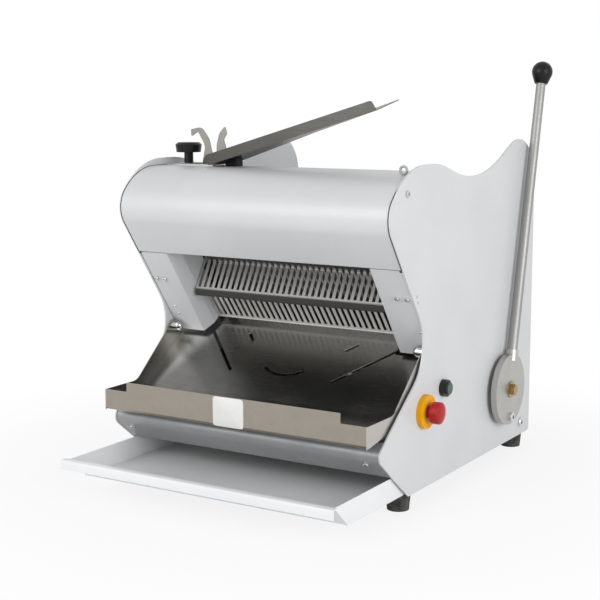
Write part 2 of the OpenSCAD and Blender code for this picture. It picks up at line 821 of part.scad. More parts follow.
module outlet_chute() {
  wall_path = rounded_path(chute_path);
  run = (chute_path[1][0] - chute_path[0][0]) / (chute_path[1][1] - chute_path[0][1]);
  shoulder_y = chute_path[0][0] + (chute_shoulder - chute_path[0][1]) * run;
  smile_r = 75;
  smile_y = -153;
  color(steel) in_frame() {
    difference() {
      along_x(-chute_w, chute_w) polygon(ribbon(wall_path, -steel_t));
      both_sides() {
        block([chute_top_w, -400, chute_shoulder], [chute_w + 1, -100, 400]);
        block([lip_mid_w / 2, lip_y - 5, lip_z + lip_low], [chute_w + 1, lip_y + 20, lip_z + lip_raised + 1]);
        chute_slot([chute_top_w + 5, -150], [chute_top_w - 96, -235]);
        chute_slot([chute_top_w - 84, -149], [chute_top_w - 104, -166]);
      }
      translate([0, smile_y, 0]) rotate([0, 0, 235]) rotate_extrude(angle = 70)
        translate([smile_r, 0]) square([chute_slot_w, 300]);
    }
    both_sides() difference() {
      union() {
        along_x(chute_w - steel_t, chute_w) polygon(concat(
          [[shoulder_y, chute_shoulder]],
          [for (p = wall_path) if (p[1] < chute_shoulder && p[0] > lip_y + 1) p],
          [[lip_y, lip_z], [lip_y, lip_z + lip_low]],
          rounded_path([
            [lip_y, lip_z + lip_low, 0], [lip_y + 95, lip_z + lip_low, 30],
            [chute_pivot[0] - 10, chute_pivot[1] + 4, 0]
          ]),
          [
            [chute_pivot[0] + chute_lug_r - 1, chute_pivot[1] - 3],
            [chute_pivot[0] + chute_lug_r + 7, chute_shoulder]
          ]
        ));
        translate([0, chute_pivot[0], chute_pivot[1]]) rod_x(chute_w - steel_t, chute_w, chute_lug_r);
      }
      translate([0, chute_pivot[0], chute_pivot[1]]) rod_x(chute_w - 5, chute_w + 1, chute_pin_r + running);
    }
  }
}

module chute_pivot_pin(side) {
  nut_r = 11;
  nut = [chute_w - steel_t - fit - 12, chute_w - steel_t - fit];
  color([0.85, 0.85, 0.86]) in_frame() on_side(side) translate([0, chute_pivot[0], chute_pivot[1]]) {
    rod_x(nut[0], inner_w, chute_pin_r);
    rod_x(nut[0], nut[1], nut_r);
    intersection() {
      translate([nut[0], 0, 0]) sphere(r = nut_r - 1);
      rod_x(nut[0] - nut_r, nut[0] + 0.1, nut_r);
    }
  }
}

module chute_pivot_left() { chute_pivot_pin(-1); }
module chute_pivot_right() { chute_pivot_pin(1); }

module crumb_tray() {
  top = tray_front - tray_flare;
  back = tray_front + tray_floor;
  floor_path = [
    [back, tray_rim - 15, 0],
    [back, tray_z, 3],
    [tray_front, tray_z, 6],
    [top, tray_rim, 2],
    [top - tray_grip, tray_rim, 2],
    [top - tray_grip, tray_rim - tray_grip_drop, 0]
  ];
  color(white) in_frame() {
    along_x(-tray_w, tray_w) polygon(ribbon(rounded_path(floor_path), -steel_t));
    both_sides() along_x(tray_w - steel_t, tray_w)
      polygon([[back, tray_z], [tray_front, tray_z], [top, tray_rim], [back, tray_rim]]);
    along_x(-half_w, half_w) polygon(ribbon(rounded_path([
      [top - 2, tray_rim, 0], [top - tray_grip, tray_rim, 2], [top - tray_grip, tray_rim - tray_grip_drop, 0]
    ]), -steel_t));
  }
}

// Controls

// A switch housing: base outside the panel, sleeve through it, nut and contact block inside
module switch_body(base_r, base_t) {
  bore = start_d / 2 + fit;
  difference() {
    union() {
      rod_x(half_w, half_w + base_t, base_r);
      rod_x(inner_w - 14, half_w + base_t, start_d / 2 + switch_wall);
      rod_x(inner_w - 7, inner_w, start_d / 2 + 6);
      rod_x(inner_w - 44, inner_w - 14, start_d / 2 + 3);
    }
    rod_x(inner_w - 14, half_w + base_t + 1, bore);
  }
}

module start_switch_body() {
  color([0.15, 0.16, 0.15]) in_frame() translate([0, start_at[0], start_at[1]])
    switch_body(start_d / 2 + 5, 11);
}

module start_button() {
  color([0.04, 0.14, 0.08]) in_frame() translate([0, start_at[0], start_at[1]])
    rod_x(inner_w - 13 + button_travel, half_w + 16, start_d / 2);
}

module stop_switch_body() {
  color([0.9, 0.68, 0.05]) in_frame() translate([0, stop_at[0], stop_at[1]]) switch_body(stop_base_d / 2, 10);
}

module stop_button() {
  head = [half_w + 20, stop_tip - 5];
  rim = stop_d / 2;
  stem = start_d / 2;
  dome = [for (t = [0:10:80]) [rim * cos(t), head[1] + (stop_tip - head[1]) * sin(t)]];
  foot = inner_w - 13 + button_travel;
  profile = concat([[0, foot], [stem, foot], [stem, head[0]], [rim, head[0]]], dome, [[0, stop_tip]]);
  color([0.7, 0.08, 0.1]) in_frame() translate([0, stop_at[0], stop_at[1]]) rotate([0, 90, 0])
    rotate_extrude() polygon(profile);
}

// Bagging scoop

module scoop_bracket() {
  length = 96;
  depth = 42;
  color(steel) in_frame() difference() {
    translate([knob_x - 24, scoop_y - depth / 2, sheet_top]) cube([length, depth, bracket_t]);
    translate([knob_x, scoop_y, sheet_top - 1]) cylinder(h = 20, r = 5 + running);
  }
}

module bagging_scoop() {
  tongue_w = 40;
  lip = 20;
  trough_z = tongue_z + fit + steel_t;
  horn_t = 2;
  left_horn = [
    [-40, -1, 0], [-33, 34, 20], [-50, 61, 4], [-66, 51, 2], [-67, 65, 3], [-42, 70, 14], [-24, 48, 30],
    [-11, -1, 0]
  ];
  right_horn = [
    [-7, -1, 0], [-6, 36, 20], [0, 58, 20], [13, 71, 2], [17, 57, 2], [10, 46, 5], [15, 30, 6],
    [21, 21 * tan(scoop_tilt) - 0.5, 0], [0, -1, 0]
  ];
  color(steel) in_frame() difference() {
    union() {
      block([knob_x - 22, scoop_y - tongue_w / 2, tongue_z + fit],
            [scoop_left + 4, scoop_y + tongue_w / 2, trough_z]);
      translate([scoop_left, scoop_y, tongue_z + fit]) rotate([0, -scoop_tilt, 0]) {
        block([0, -scoop_w / 2, 0], [scoop_len, scoop_w / 2, steel_t]);
        translate([0, steel_t - scoop_w / 2, 0]) rotate([90, 0, 0]) linear_extrude(steel_t)
          polygon(rounded([[0, 0, 0], [scoop_len, 0, 2], [scoop_len - 6, lip, 6], [-4, lip, 4]]));
      }
      for (horn = [left_horn, right_horn])
        translate([scoop_left, horn_y + horn_t / 2, trough_z]) rotate([90, 0, 0]) linear_extrude(horn_t)
          polygon(rounded(horn));
    }
    translate([knob_x, scoop_y, tongue_z]) cylinder(h = 20, r = 5 + fit);
  }
}

// The rubber pad under the trough, which rests on the cover
module scoop_pad() {
  pad = [26, 22];
  x0 = scoop_left + 14;
  under = tongue_z + fit + (x0 - scoop_left) * tan(scoop_tilt) - running;
  color(black) in_frame() along_y(scoop_y - pad[1] / 2, scoop_y + pad[1] / 2) polygon([
    [x0, sheet_top + fit],
    [x0 + pad[0], sheet_top + fit],
    [x0 + pad[0], under + pad[0] * tan(scoop_tilt)],
    [x0, under]
  ]);
}

module clamp_knob() {
  z0 = tongue_z + fit + steel_t + fit;
  neck = 20;
  lobe = neck + 15;
  color(black) in_frame() translate([knob_x, scoop_y, 0]) {
    translate([0, 0, sheet_top + 0.5]) cylinder(h = z0 - sheet_top, r = 5);
    translate([0, 0, z0]) cylinder(h = neck, r = 9);
    translate([0, 0, z0 + neck]) cylinder(h = lobe - neck, r1 = knob_d / 2 - 2, r2 = knob_d / 2);
    translate([0, 0, z0 + lobe]) cylinder(h = 4, r1 = knob_d / 2, r2 = knob_d / 2 - 5);
  }
}

side_panel_left();
side_panel_right();
top_cover();
front_cheek_left();
front_cheek_right();
base_front_plate();
rear_panel();
base_rail_left();
base_rail_right();
motor_deck();
foot_front_left();
foot_front_right();
foot_rear_left();
foot_rear_right();
blade_guide_left();
blade_guide_right();
blade_frame_a();
blade_frame_b();
blades_a();
blades_b();
drive_yokes_a();
drive_yokes_b();
crankshaft();
crank_eccentrics();
crank_pulley();
crank_bearing_left();
crank_bearing_right();
motor();
motor_shaft();
motor_pulley();
drive_belt();
electrical_box();
cable_gland();
infeed_bed();
infeed_beam();
infeed_back_plate();
shaft_bush_left();
shaft_bush_right();
lever_shaft();
lever_disc();
lever_bolt();
lever_rod();
lever_ball();
pusher_arm_left();
pusher_arm_right();
pusher_comb();
retaining_comb();
comb_rod();
outlet_chute();
chute_pivot_left();
chute_pivot_right();
crumb_tray();
start_switch_body();
start_button();
stop_switch_body();
stop_button();
scoop_bracket();
bagging_scoop();
scoop_pad();
clamp_knob();
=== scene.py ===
# %% [markdown]
# # A bench-top bread slicer, dressed for its portrait
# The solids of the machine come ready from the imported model. This lesson gives them their finishes, adds
# the small fittings that are too fine for the solids, replaces two shapes by closer ones and sets up a
# studio. Lengths are in millimetres in the machine's own frame, as on a drawing. `at` turns them into
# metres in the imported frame, whose origin lies in the middle under the whole machine.

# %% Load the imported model
import json
import math
import bpy
import bmesh
import numpy as np
from mathutils import Matrix


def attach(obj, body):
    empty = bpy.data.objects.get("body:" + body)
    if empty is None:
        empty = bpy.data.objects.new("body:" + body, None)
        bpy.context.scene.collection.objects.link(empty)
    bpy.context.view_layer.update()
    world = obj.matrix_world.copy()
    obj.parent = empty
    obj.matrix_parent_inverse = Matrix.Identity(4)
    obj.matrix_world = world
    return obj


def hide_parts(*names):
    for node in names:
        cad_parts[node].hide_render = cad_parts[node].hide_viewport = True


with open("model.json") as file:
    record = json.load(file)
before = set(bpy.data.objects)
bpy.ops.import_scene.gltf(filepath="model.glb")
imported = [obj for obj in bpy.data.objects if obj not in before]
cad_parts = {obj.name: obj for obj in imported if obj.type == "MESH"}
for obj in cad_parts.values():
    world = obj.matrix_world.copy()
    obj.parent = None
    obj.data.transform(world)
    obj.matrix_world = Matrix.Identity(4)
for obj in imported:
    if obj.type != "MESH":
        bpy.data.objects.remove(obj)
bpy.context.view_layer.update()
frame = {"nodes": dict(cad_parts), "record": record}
nodes = frame["nodes"]
ORIGIN_MM = np.array([19.0, -108.4906, 0.0])
MM_PER_M = 1000.0


def at(points):
    """Machine millimetres to packed metres: (p - origin) / 1000."""
    return (np.asarray(points, float) - ORIGIN_MM) / MM_PER_M


# %% [markdown]
# ## The leaning frame
# Blades, cheeks and the front of the cover all lean forward by the same angle. Each place there could be
# worked out by hand. It is easier to give it as n, the distance behind the blade plane, and s, the
# distance up along that plane, and to let one small function turn the pair by the lean.

# %% Leaning coordinates
LEAN = math.radians(35.5)
OPENING_Y, OPENING_Z = -168.0, 339.0


def leaned(x, n, s):
    """(x, n, s) to machine (x, y, z), lean a: y = y0 + n cos a - s sin a, z = z0 + n sin a + s cos a."""
    y = OPENING_Y + n * math.cos(LEAN) - s * math.sin(LEAN)
    z = OPENING_Z + n * math.sin(LEAN) + s * math.cos(LEAN)
    return np.array([x, y, z])


print("middle of the opening:", leaned(0, 0, 0))

# %% [markdown]
# ## Smooth curves on the solids
# The rolled cover and the turned parts of the real machine are smooth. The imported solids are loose
# triangles, so each flat strip of a curve would show, and smooth shading alone would blur the real edges
# too. A Weld modifier joins the triangles, and an Edge Split modifier keeps the sharp edges, so only
# strips that meet at a small angle are shaded as one curve. The meshes themselves stay as they are.

# %% Smooth the solids
SMOOTH_ANGLE = math.radians(28)
WELD_REACH = 1e-5


def shade_curves(obj):
    """Shade faces that meet at less than SMOOTH_ANGLE as one surface."""
    obj.data.polygons.foreach_set("use_smooth", np.ones(len(obj.data.polygons), dtype=bool))
    split = obj.modifiers.new("edges", "EDGE_SPLIT")
    split.split_angle = SMOOTH_ANGLE


def smooth_solid(obj):
    """Join the loose triangles of a solid, then shade its curves."""
    weld = obj.modifiers.new("weld", "WELD")
    weld.merge_threshold = WELD_REACH
    shade_curves(obj)


for name in nodes:
    smooth_solid(nodes[name])
print("smoothed", len(nodes), "solids")

# %% [markdown]
# ## Tools for surface effects
# A few effects recur on this machine: baked paint, brushed sheet, moulded plastic, flour dust, and painted
# light, shade and reflections that change with the place. Each could be rebuilt in every material. As a node
# group with named inputs it is built once, and every finish places it with values of its own. These helpers
# keep the wiring short.

# %% Node helpers


def new_group(name, inputs, outputs):
    """An empty shader group with named sockets; returns the tree, its input node and its output node."""
    tree = bpy.data.node_groups.new(name, "ShaderNodeTree")
    for label, kind, value in inputs:
        socket = tree.interface.new_socket(label, in_out="INPUT", socket_type=kind)
        socket.default_value = value
    for label, kind in outputs:
        tree.interface.new_socket(label, in_out="OUTPUT", socket_type=kind)
    return tree, tree.nodes.new("NodeGroupInput"), tree.nodes.new("NodeGroupOutput")


def put(tree, kind, **settings):
    """Add a node and set its properties."""
    node = tree.nodes.new(kind)
    for key, value in settings.items():
        setattr(node, key, value)
    return node


def feed(tree, socket, value):
    """Give a socket a plain number, or link another socket into it."""
    if isinstance(value, (int, float)):
        socket.default_value = value
    else:
        tree.links.new(value, socket)


def combine(tree, operation, first, second, **settings):
    """A Math node on two values, each a number or a socket."""
    node = put(tree, "ShaderNodeMath", operation=operation, **settings)
    feed(tree, node.inputs[0], first)
    feed(tree, node.inputs[1], second)
    return node.outputs[0]


def vector_math(tree, operation, first, second, result):
    """A Vector Math node on two sockets; result names the output to read."""
    node = put(tree, "ShaderNodeVectorMath", operation=operation)
    tree.links.new(first, node.inputs[0])
    tree.links.new(second, node.inputs[1])
    return node.outputs[result]


def map_range(tree, value, source, target, **settings):
    """A value carried from the range source to the range target; each end is a number or a socket."""
    node = put(tree, "ShaderNodeMapRange", **settings)
    for label, end in zip(("From Min", "From Max", "To Min", "To Max"), (*source, *target)):
        feed(tree, node.inputs[label], end)
    tree.links.new(value, node.inputs["Value"])
    return node.outputs["Result"]


print("node groups before the first one:", len(bpy.data.node_groups))

# %% [markdown]
# ## Patterns on the surface
# Paint, sheet and plastic never have one flat colour. Image textures could show that, but noise on
# Object coordinates needs no file and keeps its scale on every piece. One pattern drives tone and
# roughness together, because a worn or cloudy patch of a real surface changes both.

# %% Pattern helpers
NOISE_LOW, NOISE_HIGH = 0.3, 0.7
SURFACE_IN = [
    ("Tone", "NodeSocketColor", (0.5, 0.5, 0.5, 1)),
    ("Shade", "NodeSocketColor", (0.4, 0.4, 0.4, 1)),
    ("Smoothest", "NodeSocketFloat", 0.3),
    ("Roughest", "NodeSocketFloat", 0.4),
]
SURFACE_OUT = [("Color", "NodeSocketColor"), ("Roughness", "NodeSocketFloat"), ("Height", "NodeSocketFloat")]


def object_place(tree):
    """The place on the piece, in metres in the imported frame."""
    return put(tree, "ShaderNodeTexCoord").outputs["Object"]


def noise(tree, vector, scale, detail):
    """A noise texture on the given vector; scale counts features per metre."""
    node = put(tree, "ShaderNodeTexNoise")
    node.inputs["Detail"].default_value = detail
    tree.links.new(vector, node.inputs["Vector"])
    feed(tree, node.inputs["Scale"], scale)
    return node.outputs["Fac"]


def spread(tree, value, low=0.0, high=1.0):
    """Map a noise value around one half to the range low to high."""
    return map_range(tree, value, (NOISE_LOW, NOISE_HIGH), (low, high))


def blend_colours(tree, factor, first, second):
    """Mix two colour sockets by a factor: inputs 6 and 7 and output 2 are a Mix node's colours."""
    node = put(tree, "ShaderNodeMix", data_type="RGBA")
    tree.links.new(factor, node.inputs[0])
    tree.links.new(first, node.inputs[6])
    tree.links.new(second, node.inputs[7])
    return node.outputs[2]


def wire_surface(tree, given, out, pattern, height):
    """Colour goes from tone to shade and roughness from smoothest to roughest, both by one pattern."""
    colour = blend_colours(tree, spread(tree, pattern), given["Tone"], given["Shade"])
    roughness = spread(tree, pattern, given["Smoothest"], given["Roughest"])
    for label, value in (("Color", colour), ("Roughness", roughness), ("Height", height)):
        tree.links.new(value, out[label])


print("noise from", NOISE_LOW, "to", NOISE_HIGH, "drives", [label for label, _ in SURFACE_OUT])

# %% [markdown]
# ## Baked paint
# The panels and the cover are sheet steel with paint baked on. Such paint has a slight orange peel,
# about two millimetres from bump to bump, and clouds that are wide and faint. Two noises of different
# scale give both.

# %% Baked paint
PAINT_CLOUDS, ORANGE_PEEL = 7.0, 520.0


def make_baked_paint():
    """Colour = tone to shade by slow mottling; height = fine orange peel."""
    tree, gin, gout = new_group("baked_paint", SURFACE_IN, SURFACE_OUT)
    where = object_place(tree)
    mottle = noise(tree, where, PAINT_CLOUDS, detail=4.0)
    wire_surface(tree, gin.outputs, gout.inputs, mottle, noise(tree, where, ORANGE_PEEL, detail=2.0))
    return tree


BAKED_PAINT = make_baked_paint()
print(BAKED_PAINT.name, "with clouds", PAINT_CLOUDS, "and peel", ORANGE_PEEL, "per metre")

# %% [markdown]
# ## Brushed sheet
# Stainless sheet comes brushed: hair lines run one way over the whole plate. Fine scratches could be
# drawn one by one. Noise on coordinates that are squeezed along one axis gives the same lines at once,
# and each finish chooses that axis.

# %% Brushed sheet
HAIR_LINES, SHEET_CLOUDS = 900.0, 9.0
LINES_ALONG_X, LINES_ALONG_Y, LINES_ALONG_Z = (0.02, 1.0, 1.0), (1.0, 0.05, 1.0), (1.0, 1.0, 0.02)
LINES_IN_YZ = (1.0, 0.03, 0.03)


def make_brushed_sheet():
    """Pattern = (hair + clouds) / 2, where hair = noise on coordinates times stretch; height = hair."""
    sockets = SURFACE_IN + [("Stretch", "NodeSocketVector", LINES_ALONG_X)]
    tree, gin, gout = new_group("brushed_sheet", sockets, SURFACE_OUT)
    where = object_place(tree)
    stretched = vector_math(tree, "MULTIPLY", where, gin.outputs["Stretch"], "Vector")
    hair = noise(tree, stretched, HAIR_LINES, detail=5.0)
    both = combine(tree, "ADD", hair, noise(tree, where, SHEET_CLOUDS, detail=3.0))
    wire_surface(tree, gin.outputs, gout.inputs, combine(tree, "MULTIPLY", both, 0.5), hair)
    return tree


BRUSHED_SHEET = make_brushed_sheet()
print(BRUSHED_SHEET.name, "with", HAIR_LINES, "hair lines per metre")

# %% [markdown]
# ## Moulded plastic and rubber
# Knobs, buttons and feet come out of a mould whose wall has a fine grain, and hands leave soft scuffs on
# them. The grain goes into the height alone, and the scuffs into tone and gloss.

# %% Moulded grain
SCUFFS = 35.0


def make_moulded_grain():
    """Colour = tone to shade by scuffs; height = mould grain of the given count per metre."""
    sockets = SURFACE_IN + [("Grain", "NodeSocketFloat", 900.0)]
    tree, gin, gout = new_group("moulded_grain", sockets, SURFACE_OUT)
    where = object_place(tree)
    grain = noise(tree, where, gin.outputs["Grain"], detail=3.0)
    wire_surface(tree, gin.outputs, gout.inputs, noise(tree, where, SCUFFS, detail=5.0), grain)
    return tree


MOULDED_GRAIN = make_moulded_grain()
print(MOULDED_GRAIN.name, "with", SCUFFS, "scuffs per metre")

# %% [markdown]
# ## Flour dust
# A slicer in a bakery gathers flour, most of it low down. A second mesh of dust would be far too much. A
# mask that fades with height and is broken up by noise moves the colour a little towards flour.

# %% Flour dust
DUST_SPECKS, DUST_REACH = 60.0, 0.3


def make_flour_dust():
    """Colour moves to dust by mask = noise * (1 - z / reach) * amount."""
    tree, gin, gout = new_group("flour_dust", [
        ("Color", "NodeSocketColor", (0.5, 0.5, 0.5, 1)),
        ("Dust", "NodeSocketColor", (0.75, 0.71, 0.64, 1)),
        ("Reach", "NodeSocketFloat", DUST_REACH),
        ("Amount", "NodeSocketFloat", 0.15),
    ], [("Color", "NodeSocketColor")])
    where = object_place(tree)
    split = put(tree, "ShaderNodeSeparateXYZ")
    tree.links.new(where, split.inputs[0])
    low = map_range(tree, split.outputs["Z"], (0.0, gin.outputs["Reach"]), (1.0, 0.0))
    mask = combine(tree, "MULTIPLY", low, spread(tree, noise(tree, where, DUST_SPECKS, detail=6.0)))
    amount = combine(tree, "MULTIPLY", mask, gin.outputs["Amount"])
    dusty = blend_colours(tree, amount, gin.outputs["Color"], gin.outputs["Dust"])
    tree.links.new(dusty, gout.inputs["Color"])
    return tree


FLOUR_DUST = make_flour_dust()
print(FLOUR_DUST.name, "up to", DUST_REACH, "m")

# %% [markdown]
# ## Painted light by place
# One folded sheet can look quite different on the two sides of a fold: the lip of the chute meets the light
# from the bench, and its floor mirrors the dark machine. Here that light, shade and reflection are painted
# into the colour. The sheet could be cut into pieces with a material each. A plane in space that marks where
# one painted tone gives way to the next leaves the sheet whole.

# %% Painted light by place


def make_painted_light_zone():
    """Colour moves to the zone's painted light or shade past a plane: mask = smoothstep((p . direction -
    edge) / soft).
    """
    tree, gin, gout = new_group("painted_light_zone", [
        ("Color", "NodeSocketColor", (0.5, 0.5, 0.5, 1)),
        ("Zone", "NodeSocketColor", (0.5, 0.5, 0.5, 1)),
        ("Direction", "NodeSocketVector", (0.0, 0.0, 1.0)),
        ("Edge", "NodeSocketFloat", 0.0),
        ("Soft", "NodeSocketFloat", 0.005),
    ], [("Color", "NodeSocketColor")])
    along = vector_math(tree, "DOT_PRODUCT", object_place(tree), gin.outputs["Direction"], "Value")
    end = combine(tree, "ADD", gin.outputs["Edge"], gin.outputs["Soft"])
    mask = map_range(tree, along, (gin.outputs["Edge"], end), (0.0, 1.0), interpolation_type="SMOOTHSTEP")
    toned = blend_colours(tree, mask, gin.outputs["Color"], gin.outputs["Zone"])
    tree.links.new(toned, gout.inputs["Color"])
    return tree


PAINTED_LIGHT_ZONE = make_painted_light_zone()
print(PAINTED_LIGHT_ZONE.name)

# %% [markdown]
# ## From effects to finishes
# Each finish places one surface group, its zones and the dust group, and feeds a Principled shader. What
# is the same all over, such as how metallic it is, is set on the shader itself, where the export can
# read it.

# %% Finish builder
RELIEF_STRENGTH = 0.35


def finish(name, group, tone, shade, metallic=0.0, rough=(0.3, 0.42), bump=0.0002, gloss=0.5, dust=0.12,
           zones=(), **extra):
    """A material: colour = surface group, then zones, then dust; roughness and bump from the surface group.

    A zone paints light or shade: (direction, place, soft, tone); past the plane through place, in mm, the
    tone takes over.
    """
    mat = bpy.data.materials.new(name)
    mat.use_nodes = True
    tree = mat.node_tree
    shader = tree.nodes["Principled BSDF"]
    surface = put(tree, "ShaderNodeGroup", node_tree=group)
    values = {"Tone": (*tone, 1), "Shade": (*shade, 1), "Smoothest": rough[0], "Roughest": rough[1], **extra}
    for key, value in values.items():
        surface.inputs[key].default_value = value
    colour = surface.outputs["Color"]
    for direction, place, soft, zone_colour in zones:
        zone = put(tree, "ShaderNodeGroup", node_tree=PAINTED_LIGHT_ZONE)
        zone.inputs["Zone"].default_value = (*zone_colour, 1)
        zone.inputs["Direction"].default_value = tuple(direction)
        zone.inputs["Edge"].default_value = float(np.dot(direction, at(place)))
        zone.inputs["Soft"].default_value = soft / MM_PER_M
        tree.links.new(colour, zone.inputs["Color"])
        colour = zone.outputs["Color"]
    veil = put(tree, "ShaderNodeGroup", node_tree=FLOUR_DUST)
    veil.inputs["Amount"].default_value = dust
    tree.links.new(colour, veil.inputs["Color"])
    relief = put(tree, "ShaderNodeBump")
    relief.inputs["Strength"].default_value = RELIEF_STRENGTH
    relief.inputs["Distance"].default_value = bump
    tree.links.new(surface.outputs["Height"], relief.inputs["Height"])
    tree.links.new(veil.outputs["Color"], shader.inputs["Base Color"])
    tree.links.new(surface.outputs["Roughness"], shader.inputs["Roughness"])
    tree.links.new(relief.outputs["Normal"], shader.inputs["Normal"])
    shader.inputs["Metallic"].default_value = metallic
    shader.inputs["Specular IOR Level"].default_value = gloss
    return mat


print("relief strength:", RELIEF_STRENGTH)

# %% [markdown]
# ## Painted sheet
# The casing is white, the crumb tray a little brighter, and the plate under the chute grey. The drive
# inside has a blue motor and blackened steel. Each could have a material drawn by hand, but all of them
# are coats of paint, so one group serves with five pairs of tones.

# %% Painted finishes
WHITE = finish("white_paint", BAKED_PAINT, (0.66, 0.672, 0.685), (0.625, 0.638, 0.653), gloss=0.4)
TRAY_WHITE = finish("tray_white", BAKED_PAINT, (0.86, 0.87, 0.88), (0.81, 0.825, 0.84), rough=(0.35, 0.5))
PLATE_GREY = finish("base_plate_grey", BAKED_PAINT, (0.31, 0.325, 0.33), (0.28, 0.295, 0.30), metallic=0.3,
                    rough=(0.35, 0.5))
MOTOR_BLUE = finish("motor_paint", BAKED_PAINT, (0.09, 0.13, 0.19), (0.07, 0.10, 0.15), rough=(0.25, 0.4))
DARK_STEEL = finish("dark_steel", BAKED_PAINT, (0.05, 0.052, 0.055), (0.035, 0.037, 0.04), rough=(0.4, 0.55),
                    gloss=0.3)
print("painted finishes:", len(bpy.data.materials))

# %% [markdown]
# ## The chute's steel
# The chute is one sheet of stainless, folded into a floor, two side walls and a front lip. Its floor mirrors
# the dark opening, its upper left corner the bright panel beside it, and the lip and walls the bench. The
# dark base tone and five zones paint those reflections into the colour, and the true reflections lie over
# them.

# %% Chute finish
FORWARD = np.array([0.0, -1.0, 0.0])
UPWARD = np.array([0.0, 0.0, 1.0])
SIDEWAYS = np.array([1.0, 0.0, 0.0])
UP_AND_LEFT = np.array([-0.8, 0.0, 0.6])
WALL_INSIDE, LIP_BACK_Y = 281.5, -401.0
WALL_PAINTED_LIGHT = (0.50, 0.48, 0.45)
CHUTE_PAINTED_LIGHT = [
    (UPWARD, (0, 0, 225), 70, (0.29, 0.287, 0.272)),  # painted reflection, lighter on the upper part of the floor
    (UP_AND_LEFT, (-200, 0, 235), 60, (0.95, 0.94, 0.90)),  # painted reflection of the bright panel on its upper left corner
    (FORWARD, (0, LIP_BACK_Y, 0), 2, (0.32, 0.292, 0.25)),  # painted reflection of the bench on the front lip
    (SIDEWAYS, (WALL_INSIDE, 0, 0), 1, WALL_PAINTED_LIGHT),  # painted reflection of the bench on the right wall
    (-SIDEWAYS, (-WALL_INSIDE, 0, 0), 1, WALL_PAINTED_LIGHT),  # painted reflection of the bench on the left wall
]
# The dark base tone is painted reflection of the dark opening.
CHUTE_STEEL = finish("chute_steel", BRUSHED_SHEET, (0.20, 0.198, 0.188), (0.15, 0.148, 0.14), metallic=1.0,
                     rough=(0.2, 0.3), bump=0.00005, zones=CHUTE_PAINTED_LIGHT)
print("chute zones:", len(CHUTE_PAINTED_LIGHT))

# %% [markdown]
# ## The comb's steel
# The comb hangs over the outlet and holds the slices together. Its turned-down bar lies in the shade, its
# lower fingers catch the light, and their cut ends are the brightest. These go into the colour as painted
# shade, painted light and a painted highlight. Planes across the leaning face and along it part these tones.

# %% Comb finish
OUT_OF_FACE = np.array([0.0, -math.cos(LEAN), -math.sin(LEAN)])
DOWN_FACE = np.array([0.0, math.sin(LEAN), -math.cos(LEAN)])
COMB_PAINTED_LIGHT = [
    (OUT_OF_FACE, leaned(0, -21, 0), 3, (0.035, 0.033, 0.03)),  # painted shade on the turned-down bar
    (DOWN_FACE, leaned(0, 0, 12), 3, (0.57, 0.56, 0.535)),  # painted light on the lower fingers
    (DOWN_FACE, leaned(0, 0, -52), 1, (0.84, 0.83, 0.81)),  # painted highlight on their cut ends
    (-DOWN_FACE, leaned(0, 0, 69), 9, (0.06, 0.058, 0.055)),  # top, in the cover's shade
]
COMB_STEEL = finish("comb_steel", BRUSHED_SHEET, (0.44, 0.43, 0.41), (0.36, 0.35, 0.33), metallic=0.25,
                    rough=(0.26, 0.4), bump=0.00008, gloss=0.3, zones=COMB_PAINTED_LIGHT)
print("directions out of the face and down it:", OUT_OF_FACE.round(3), DOWN_FACE.round(3))

# %% [markdown]
# ## The scoop's steel
# The scoop is a trough on the cover on which a sliced loaf is slid into its bag. Seen from the front it
# shows its underside, which lies in shade, and that shade is painted into the sheet's dark tone. The horns
# that stand up from it catch the light, painted as a lighter tone, so a plane along the trough parts the
# two.

# %% Scoop finish
SCOOP_TILT = math.radians(16)
OFF_TROUGH = np.array([-math.sin(SCOOP_TILT), 0.0, math.cos(SCOOP_TILT)])
ALONG_TROUGH = np.array([math.cos(SCOOP_TILT), 0.0, math.sin(SCOOP_TILT)])
TROUGH_FOOT = np.array([-159.0, -187.0, 606.0])
HORN_FOOT = 21.0
# Painted light: the horns are lighter than the shaded underside.
SCOOP_PAINTED_LIGHT = [(OFF_TROUGH, TROUGH_FOOT + HORN_FOOT * OFF_TROUGH, 2, (0.21, 0.20, 0.185))]
# The dark base tone is painted shade of the underside.
SCOOP_STEEL = finish("scoop_steel", BRUSHED_SHEET, (0.085, 0.082, 0.076), (0.060, 0.058, 0.054),
                     metallic=1.0, rough=(0.24, 0.38), bump=0.00008, zones=SCOOP_PAINTED_LIGHT)
print("the trough runs along", ALONG_TROUGH.round(3))

# %% [markdown]
# ## The other metals
# On sheet the hair lines run across the machine, on bed and blades along the loaf's way, and on rods and
# bolts up and down. The lever's rod is duller than a bolt, the chute's domed nuts are plated and almost
# a mirror, and the lever's bushes are bronze. They differ only in tone, gloss and the way of the lines,
# so one group with other values does for all, and no metal needs a node tree of its own.

# %% Metal finishes
STAINLESS = finish("brushed_stainless", BRUSHED_SHEET, (0.50, 0.495, 0.475), (0.38, 0.375, 0.36),
                   metallic=1.0, rough=(0.24, 0.38), bump=0.00008)
BED_STEEL = finish("bed_steel", BRUSHED_SHEET, (0.22, 0.218, 0.21), (0.17, 0.168, 0.16), metallic=1.0,
                   rough=(0.3, 0.45), bump=0.00008, Stretch=LINES_IN_YZ)
